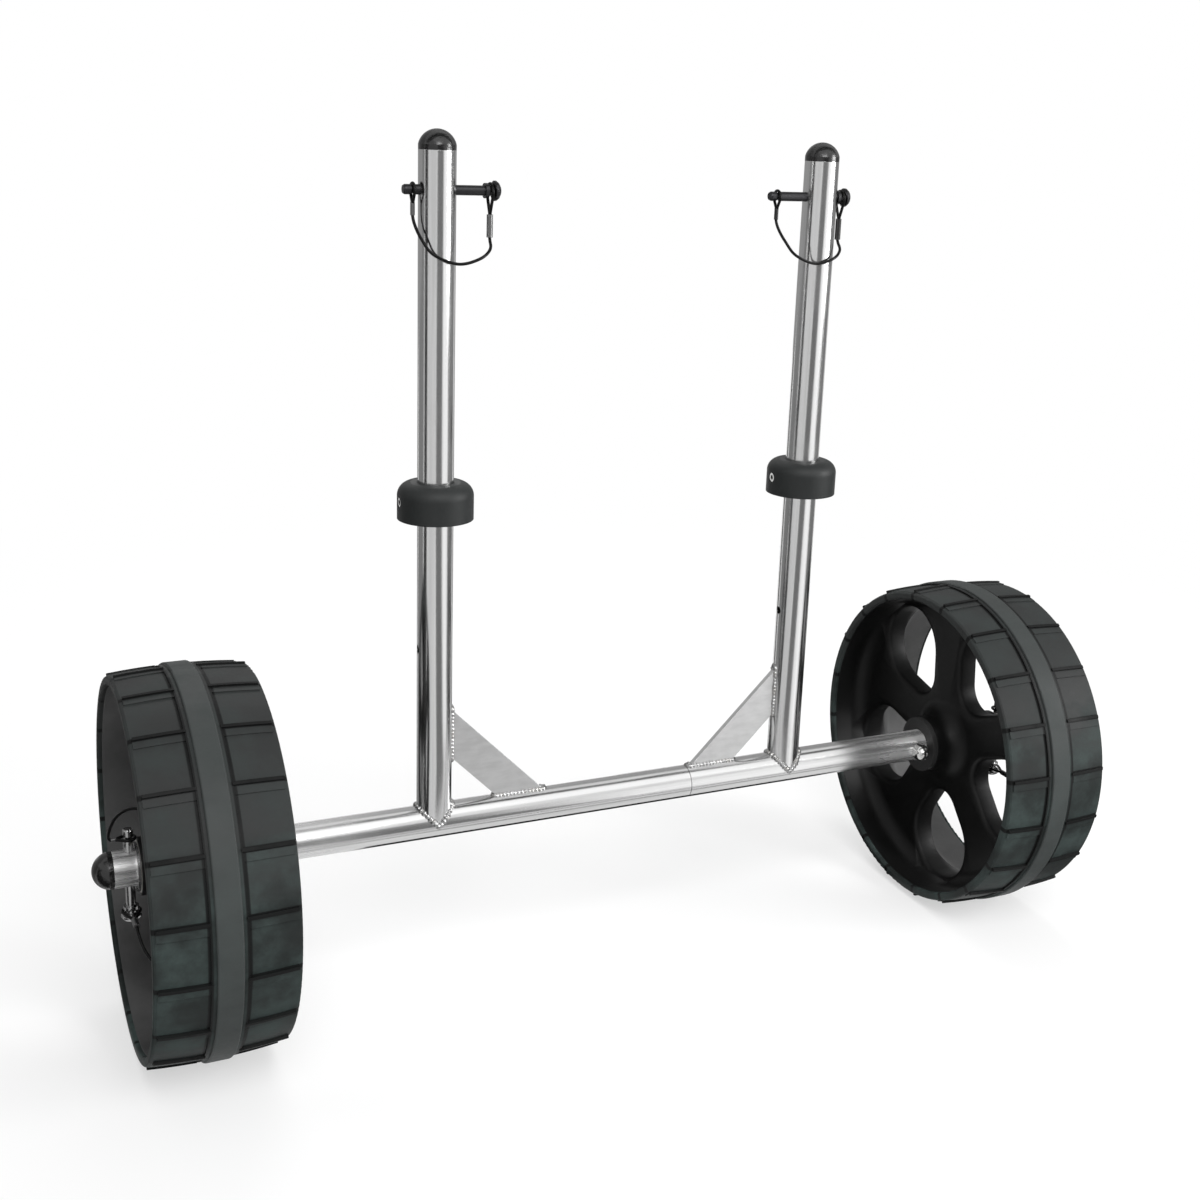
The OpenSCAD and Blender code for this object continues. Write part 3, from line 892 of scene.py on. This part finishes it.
@dataclass
class WeldBead:
    """A rippled bead of weld laid along a closed line."""

    name: str
    line: list[Vector]
    radius: float = 0.0025
    ripple: float = 0.0034
    sides: int = 10
    ripple_share: float = 0.2
    uneven_share: float = 0.12
    uneven_rate: float = 410.0
    aside: Point = (0.31, 0.22, 0.92)

    def rings(self) -> list[list[Vector]]:
        """Rings of points round the line, wider at each ripple.

        Returns:
            The rings in order.
        """
        count = len(self.line)
        reach = 0.0
        rings = []
        for i, point in enumerate(self.line):
            ahead = (self.line[(i + 1) % count] - self.line[i - 1]).normalized()
            reach += (self.line[(i + 1) % count] - point).length
            wave = 1.0 + self.ripple_share * math.sin(2 * math.pi * reach / self.ripple)
            wave += self.uneven_share * math.sin(self.uneven_rate * reach)
            across = ahead.cross(Vector(self.aside)).normalized()
            other = ahead.cross(across)
            turns = [2 * math.pi * k / self.sides for k in range(self.sides)]
            rings.append([
                point + self.radius * wave * (math.cos(t) * across + math.sin(t) * other)
                for t in turns
            ])
        return rings

    def build(self) -> bpy.types.Object:
        """Makes the bead on the frame.

        Returns:
            The bead.
        """
        form = bmesh.new()
        skin(form, self.rings(), True)
        data = bpy.data.meshes.new(self.name)
        form.to_mesh(data)
        form.free()
        data.shade_smooth()
        data.materials.append(material("weld_steel"))
        bead = new_object(self.name, data)
        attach(bead, "frame")
        log.info("%s has %d ripples", self.name, round(path_length(self.line) / self.ripple))
        return bead


@dataclass
class Welds:
    """The beads at the foot of each post and round both ends of each gusset."""

    plate_half: float = 0.0025
    reach: float = 0.086
    foot: float = 0.044
    gusset_bead_r: float = 0.0021
    corner_steps: int = 6

    def post_line(self, side: Side, count: int = 220) -> list[Vector]:
        """Line on which a post meets the axle.

        Args:
            side: The post's side.
            count: Number of points.

        Returns:
            The points round the post.
        """
        points = []
        for k in range(count):
            turn = 2 * math.pi * k / count
            rise = TUBE_R * abs(math.cos(turn))
            x = side.value * POST_X + TUBE_R * math.cos(turn)
            points.append(Vector((x, TUBE_R * math.sin(turn), AXLE_Z + rise)))
        return points

    def plate_line(self, start: Vector, end: Vector, step: float = 0.0006) -> list[Vector]:
        """Line round a plate's end.

        Args:
            start: One end of the plate's edge, on its middle plane.
            end: The edge's other end.
            step: Distance between two points.

        Returns:
            Points along the front face and back along the rear face.
        """
        count = max(int((end - start).length / step), 8)
        out = Vector((0.0, self.plate_half, 0.0))
        there = [start.lerp(end, k / count) - out for k in range(count + 1)]
        back = [start.lerp(end, 1 - k / count) + out for k in range(count + 1)]
        rounds = []
        for corner, first, turn in ((end, there[-1], 1), (start, back[-1], -1)):
            along = (end - start).normalized() * turn
            arm = first - corner
            half = [math.pi * k / self.corner_steps for k in range(1, self.corner_steps)]
            rounds.append([
                corner + arm * math.cos(t) + along * self.plate_half * math.sin(t) for t in half
            ])
        return [*there, *rounds[0], *back, *rounds[1]]

    def build(self) -> None:
        """Makes every bead."""
        top = AXLE_Z + TUBE_R
        face = POST_X - TUBE_R
        for side in Side:
            WeldBead(f"{side.label}_post_weld", self.post_line(side)).build()
            for end, start, stop in (
                ("upper", (face, 0.0, top + self.reach), (face, 0.0, top + self.reach - self.foot)),
                ("lower", (face - self.reach, 0.0, top), (face - self.reach + self.foot, 0.0, top)),
            ):
                line = self.plate_line(Vector(side.mirrored(start)), Vector(side.mirrored(stop)))
                name = f"{side.label}_{end}_gusset_weld"
                WeldBead(name, line, radius=self.gusset_bead_r).build()


@dataclass
class WheelCore:
    """Core of a wheel: a dished web between hub and rim, with egg-shaped windows through it."""

    side: Side
    bore_r: float = 0.0165
    hub_r: float = 0.027
    tail_r: float = 0.0235
    hub_half: float = 0.042
    rim_in_r: float = 0.147
    rim_out_r: float = 0.15045
    rim_half: float = 0.0505
    web_in: float = -0.017
    web_out: float = 0.003
    flare_r: float = 0.017
    bowl_r: float = 0.016
    bush_r: float = 0.01805
    bush_len: float = 0.022
    flange_r: float = 0.02105
    flange_t: float = 0.002
    windows: int = 5
    first_turn: float = 49.5
    nose_r: float = 0.024
    belly_r: float = 0.040
    window_len: float = 0.091
    window_edge: float = 0.002
    soft_edge: float = 0.005
    wall_kept: float = 0.0002
    cut_reach: float = 0.060
    arc_steps: int = 14
    window_steps: int = 32
    turn_steps: int = 180
    sharp_angle: float = 32.0

    def arc(self, middle: Flat, radius: float, start: float, end: float) -> list[Flat]:
        """Points on an arc.

        Args:
            middle: The arc's centre.
            radius: Its radius.
            start: Angle of the first point, in degrees.
            end: Angle of the last.

        Returns:
            The points, both ends included.
        """
        count = self.arc_steps
        turns = [math.radians(start + (end - start) * k / count) for k in range(count + 1)]
        x, y = middle
        return [(x + radius * math.cos(t), y + radius * math.sin(t)) for t in turns]

    def section(self) -> list[Flat]:
        """Closed section of the core.

        Returns:
            Radius, and distance outwards from the wheel's middle plane, of each point.
        """
        half, pocket = self.hub_half, self.hub_half - self.bush_len
        bowl_at = self.rim_in_r - self.bowl_r
        inner_flare = (self.hub_r + self.flare_r, self.web_in - self.flare_r)
        outer_flare = (self.tail_r + self.flare_r, self.web_out + self.flare_r)
        return [
            (self.bore_r, pocket), (self.bore_r, -pocket), (self.bush_r, -pocket),
            (self.bush_r, -half + self.flange_t), (self.flange_r, -half + self.flange_t),
            (self.flange_r, -half), (self.hub_r, -half),
            *self.arc(inner_flare, self.flare_r, 180, 90),
            *self.arc((bowl_at, self.web_in - self.bowl_r), self.bowl_r, 90, 0),
            (self.rim_in_r, -self.rim_half), (self.rim_out_r, -self.rim_half),
            (self.rim_out_r, self.rim_half), (self.rim_in_r, self.rim_half),
            *self.arc((bowl_at, self.web_out + self.bowl_r), self.bowl_r, 0, -90),
            *self.arc(outer_flare, self.flare_r, -90, -180),
            (self.tail_r, half), (self.flange_r, half), (self.flange_r, half - self.flange_t),
            (self.bush_r, half - self.flange_t), (self.bush_r, pocket),
        ]

    def window(self, grow: float) -> list[Flat]:
        """Outline of a window made wider all round.

        Args:
            grow: How much it is wider, in metres.

        Returns:
            Points whose first number runs from the axle outwards.
        """
        belly_x = self.rim_in_r - self.window_edge - self.belly_r
        nose_x = belly_x + self.belly_r - self.window_len + self.nose_r
        lean = math.degrees(math.asin((self.belly_r - self.nose_r) / (belly_x - nose_x)))
        points = []
        for x, radius, start, end in (
            (belly_x, self.belly_r + grow, -90 - lean, 90 + lean),
            (nose_x, self.nose_r + grow, 90 + lean, 270 - lean),
        ):
            for k in range(self.window_steps + 1):
                t = math.radians(start + (end - start) * k / self.window_steps)
                reach, across = x + radius * math.cos(t), radius * math.sin(t)
                kept = min(1.0, (self.rim_in_r - self.wall_kept) / math.hypot(reach, across))
                points.append((reach * kept, across * kept))
        return points

    def placed(self, out: float, along: float, across: float, turn: float) -> Point:
        """A point of the wheel in the cart's frame.

        Args:
            out: Distance outwards from the wheel's middle plane.
            along: Distance from the axle along the turned direction.
            across: Distance across it.
            turn: The direction's angle in radians, from the back upwards.

        Returns:
            The point.
        """
        return self.side.mirrored((
            TRACK / 2 + out,
            along * math.cos(turn) - across * math.sin(turn),
            AXLE_Z + along * math.sin(turn) + across * math.cos(turn),
        ))

    @staticmethod
    def solid(name: str, loops: list[list[list[Point]]], capped: bool) -> bpy.types.Object:
        """Closed forms through rows of points.

        Args:
            name: The new object's name.
            loops: For each form its rows, each row a closed ring.
            capped: Whether a form ends in two caps, or else runs round into itself.

        Returns:
            The object.
        """
        form = bmesh.new()
        for rings in loops:
            rows = skin(form, rings, not capped)
            if capped:
                form.faces.new(rows[0])
                form.faces.new(reversed(rows[-1]))
        bmesh.ops.recalc_face_normals(form, faces=form.faces)
        data = bpy.data.meshes.new(name)
        form.to_mesh(data)
        form.free()
        return new_object(name, data)

    def cutter(self) -> bpy.types.Object:
        """The windows as solids, wider towards the cart's middle for a soft edge there.

        Returns:
            One object with every window.
        """
        soft = self.soft_edge
        levels = (
            (-self.cut_reach, soft * 1.6), (self.web_in - 0.001, soft * 1.05),
            (self.web_in, soft), (self.web_in + 0.15 * soft, soft * 0.55),
            (self.web_in + 0.5 * soft, soft * 0.2), (self.web_in + soft, 0.0),
            (self.cut_reach, 0.0),
        )
        loops = []
        for window in range(self.windows):
            turn = math.radians(self.first_turn + 360.0 * window / self.windows)
            loops.append([
                [self.placed(out, x, y, turn) for x, y in self.window(grow)] for out, grow in levels
            ])
        return self.solid(f"{self.side.label}_windows", loops, True)

    def build(self) -> bpy.types.Object:
        """Turns the section round the axle, cuts the windows and puts the core in its node's place.

        Returns:
            The core.
        """
        label, count = self.side.label, self.turn_steps
        rows = [
            [self.placed(out, r, 0.0, 2 * math.pi * k / count) for r, out in self.section()]
            for k in range(count)
        ]
        core = self.solid(f"{label}_dished_core", [rows], False)
        cutter = self.cutter()
        cut = core.modifiers.new("windows", "BOOLEAN")
        cut.operation, cut.solver, cut.object = "DIFFERENCE", "EXACT", cutter
        shaped = core.evaluated_get(bpy.context.evaluated_depsgraph_get())
        core.data = bpy.data.meshes.new_from_object(shaped)
        core.modifiers.clear()
        bpy.data.objects.remove(cutter)
        core.data.shade_smooth()
        core.data.set_sharp_from_angle(angle=math.radians(self.sharp_angle))
        core.data.materials.clear()
        core.data.materials.append(material("core_plastic"))
        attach(core, f"{label}_wheel")
        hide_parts(f"{label}_wheel_core")
        log.info("%s has %d faces", core.name, len(core.data.polygons))
        return core


@dataclass(frozen=True)
class Flag:
    """A card that only reflections see, as photographers stand round bright metal."""

    name: str
    corners: tuple[Point, ...]
    grey: float

    def build(self) -> None:
        """Makes the card, unseen by the camera and without a shadow."""
        data = bpy.data.meshes.new(self.name)
        data.from_pydata(self.corners, [], [tuple(range(len(self.corners)))])
        paint, graph = new_material(self.name)
        glow = graph.node("ShaderNodeEmission", {}, {"Color": WHITE, "Strength": self.grey})
        graph.node("ShaderNodeOutputMaterial", {}, {"Surface": glow})
        data.materials.append(paint)
        card = new_object(self.name, data)
        card.visible_camera = card.visible_diffuse = card.visible_shadow = False
        card.visible_transmission = card.visible_volume_scatter = False


@dataclass
class Studio:
    """Camera, soft lamps, white surroundings and a pale floor."""

    camera_at: Point = (-0.57116, -1.20324, 0.75155)
    yaw: float = 25.756
    pitch: float = -14.985
    roll: float = 2.267
    focal_px: float = 1568.4
    picture_px: float = 1200.0
    sensor_mm: float = 36.0
    clip_end: float = 50.0
    shift: Flat = (-0.02955, -0.04543)
    floor_r: float = 9.0
    floor_grey: float = 0.86
    fade_span: Flat = (0.6, 1.8)
    world_light: float = 0.55
    aim: Point = (0.0, 0.0, 0.3)
    lamps: tuple[tuple[Point, float, float, float], ...] = (
        ((-0.4, -2.0, 2.3), 1.4, 1.4, 50.0),
        ((2.3, -1.5, 1.1), 1.0, 1.4, 60.0),
        ((0.4, 2.0, 2.0), 1.6, 1.0, 26.0),
    )
    flag_z: float = 0.004
    flag_near: float = 0.46
    flag_far: float = 3.4
    flag_top: float = 1.3
    flag_steps: int = 6
    floor_flags: tuple[tuple[float, float, float], ...] = (
        (122, 171, 0.28), (176, 196, 0.05), (202, 244, 0.85), (251, 287, 0.22), (293, 321, 1.4),
        (328, 382, 0.25), (36, 58, 0.3), (66, 84, 1.2), (92, 112, 0.15),
    )
    level_flags: tuple[tuple[str, Flat, Flat, float, float], ...] = (
        ("overhead_strip", (-1.5, 2.6), (-0.22, 0.12), 1.46, 0.08),
        ("front_box", (-1.2, 3.6), (-2.4, -0.55), 2.2, 1.45),
        ("under_card", (-1.2, 1.8), (-0.80, 0.40), 0.001, 0.95),
        ("wheel_shade", (-0.20, 0.33), (0.02, 0.70), 0.003, 0.0),
        ("near_strip_0", (-1.2, 1.8), (-0.46, -0.38), 0.002, 0.15),
        ("near_strip_1", (-1.2, 1.8), (-0.27, -0.23), 0.002, 0.30),
        ("near_strip_2", (-1.2, 1.8), (-0.15, -0.12), 0.002, 0.35),
    )
    wall: tuple[Point, ...] = (
        (-4.0, 1.5, 0.35), (4.5, 1.5, 0.35), (4.5, 1.5, 3.0), (-4.0, 1.5, 3.0)
    )
    wall_grey: float = 0.4

    def fan(self, turns: Iterable[float], reach: float) -> list[Point]:
        """Points on the floor at one reach.

        Args:
            turns: Their angles in radians.
            reach: Their distance from the cart's middle.

        Returns:
            The points.
        """
        return [(reach * math.cos(t), reach * math.sin(t), self.flag_z) for t in turns]

    def make_flags(self) -> None:
        """Sets cards round the posts, strips under and over the axle, and a wall behind."""
        for k, (start, end, grey) in enumerate(self.floor_flags):
            count = self.flag_steps
            turns = [math.radians(start + (end - start) * i / count) for i in range(count + 1)]
            near, far = self.fan(turns, self.flag_near), self.fan(reversed(turns), self.flag_far)
            Flag(f"floor_flag_{k}", (*near, *far), grey).build()
            above = [(x, y, self.flag_top) for x, y, _ in reversed(far)]
            Flag(f"upright_flag_{k}", (*far, *above), grey).build()
        for name, (x0, x1), (y0, y1), z, grey in self.level_flags:
            Flag(name, ((x0, y0, z), (x1, y0, z), (x1, y1, z), (x0, y1, z)), grey).build()
        Flag("back_wall", self.wall, self.wall_grey).build()

    def make_camera(self) -> None:
        """Sets the camera where the photograph was taken from."""
        yaw, pitch, roll = (math.radians(a) for a in (self.yaw, self.pitch, self.roll))
        flat = math.cos(pitch)
        ahead = Vector((math.sin(yaw) * flat, math.cos(yaw) * flat, math.sin(pitch)))
        level = Vector((math.cos(yaw), -math.sin(yaw), 0.0))
        upright = level.cross(ahead)
        right = math.cos(roll) * level + math.sin(roll) * upright
        up = math.cos(roll) * upright - math.sin(roll) * level
        placed = Matrix((right, up, -ahead)).transposed().to_4x4()
        placed.translation = self.camera_at
        data = bpy.data.cameras.new("camera")
        data.sensor_width = self.sensor_mm
        data.lens = self.focal_px / self.picture_px * data.sensor_width
        data.shift_x, data.shift_y = self.shift
        data.clip_end = self.clip_end
        camera = new_object("camera", data)
        camera.matrix_world = placed
        bpy.context.scene.camera = camera

    def make_lamps(self) -> None:
        """Adds the soft lamps, each aimed at the cart's middle."""
        target = Vector(self.aim)
        for k, (place, width, height, power) in enumerate(self.lamps):
            data = bpy.data.lights.new(f"lamp_{k}", "AREA")
            data.shape = "RECTANGLE"
            data.size, data.size_y = width, height
            data.energy = power
            lamp = new_object(f"lamp_{k}", data)
            lamp.location = place
            lamp.rotation_euler = (target - Vector(place)).to_track_quat("-Z", "Y").to_euler()

    def make_world(self) -> None:
        """White to the eye and in reflections, softer as a light."""
        world = bpy.data.worlds.new("studio")
        world.use_nodes = True
        bpy.context.scene.world = world
        graph = Graph(world.node_tree)
        seen = self.seen(graph)
        light, white = (
            graph.node("ShaderNodeBackground", {}, {"Color": WHITE, "Strength": strength})
            for strength in (self.world_light, 1.0)
        )
        both = graph.node("ShaderNodeMixShader", {}, {0: seen, 1: light, 2: white})
        graph.node("ShaderNodeOutputWorld", {}, {"Surface": both})

    @staticmethod
    def seen(graph: Graph) -> Wire:
        """Mask of what is looked at, also in a reflection.

        Args:
            graph: The graph that needs it.

        Returns:
            Its wire, 1 for such a ray and 0 for light.
        """
        camera = graph.node("ShaderNodeLightPath", {}, {}, "Is Camera Ray")
        glossy = graph.node("ShaderNodeLightPath", {}, {}, "Is Glossy Ray")
        through = graph.node("ShaderNodeLightPath", {}, {}, "Is Transmission Ray")
        total = camera + glossy + through
        return total.over(0.0, 1.0)

    def make_floor(self) -> None:
        """A pale floor that takes the cart's shadow and fades to white far off."""
        data = bpy.data.meshes.new("floor")
        r = self.floor_r
        data.from_pydata([(-r, -r, 0), (r, -r, 0), (r, r, 0), (-r, r, 0)], [], [(0, 1, 2, 3)])
        floor = new_object("floor", data)
        paint, graph = new_material("floor")
        place = graph.node("ShaderNodeTexCoord", {}, {}, "Object")
        away = graph.node("ShaderNodeVectorMath", {"operation": "LENGTH"}, {0: place}, "Value")
        matt = graph.node("ShaderNodeBsdfDiffuse", {}, {"Color": rgba((self.floor_grey,) * 3)})
        white = graph.node("ShaderNodeEmission", {}, {"Color": WHITE, "Strength": 1.0})
        share = (0.55 + 0.45 * away.over(*self.fade_span)) * self.seen(graph)
        both = graph.node("ShaderNodeMixShader", {}, {0: share, 1: matt, 2: white})
        graph.node("ShaderNodeOutputMaterial", {}, {"Surface": both})
        data.materials.append(paint)


@dataclass
class Dressing:
    """Finishes of the nodes that are shown as they are."""

    plain: dict[str, str] = field(default_factory=lambda: {
        "axle_tube": "axle_steel", "stop_bolts": "bolt_steel", "stop_nuts": "bolt_steel",
        "inner_discs": "disc_plastic", "outer_washers": "washer_steel",
    })
    sided: dict[str, str] = field(default_factory=lambda: {
        "post": "post_steel", "gusset": "gusset_steel", "post_cap": "cap_plastic",
        "axle_cap": "cap_plastic", "collar": "collar_rubber", "collar_screw": "bolt_steel",
        "tread": "tread_rubber", "hub_bushes": "bush_nylon",
        "post_pin": "pin_steel", "axle_pin": "axle_pin_steel",
        "post_eyes": "cable_coat", "axle_eyes": "cable_coat", "axle_ferrules": "ferrule_metal",
    })

    def build(self) -> None:
        """Dresses every such node."""
        for node, finish in self.plain.items():
            dress(node, finish)
        for side in Side:
            for part, finish in self.sided.items():
                dress(f"{side.label}_{part}", finish)
        dress("left_post_ferrules", "ferrule_metal")
        dress("right_post_ferrules", "ferrule_black")


def lanyards() -> Iterable[Lanyard]:
    """The four lanyards.

    Yields:
        Each of them, not yet built.
    """
    yield PostLanyard(Side.LEFT, tip_x=-0.203)
    yield PostLanyard(Side.RIGHT, tip_x=0.1242)
    yield AxleLanyard(Side.LEFT)
    yield AxleLanyard(Side.RIGHT)


def main() -> None:
    """Builds the studio and the cart's pieces in order."""
    logging.basicConfig(level=logging.INFO, format="%(name)s: %(message)s")
    bpy.context.scene.view_settings.view_transform = "Standard"
    studio = Studio()
    studio.make_camera()
    for lanyard in lanyards():
        lanyard.build()
    Dressing().build()
    Welds().build()
    for side in Side:
        WheelCore(side).build()
    studio.make_lamps()
    studio.make_flags()
    studio.make_world()
    studio.make_floor()


if __name__ == "__main__":
    main()
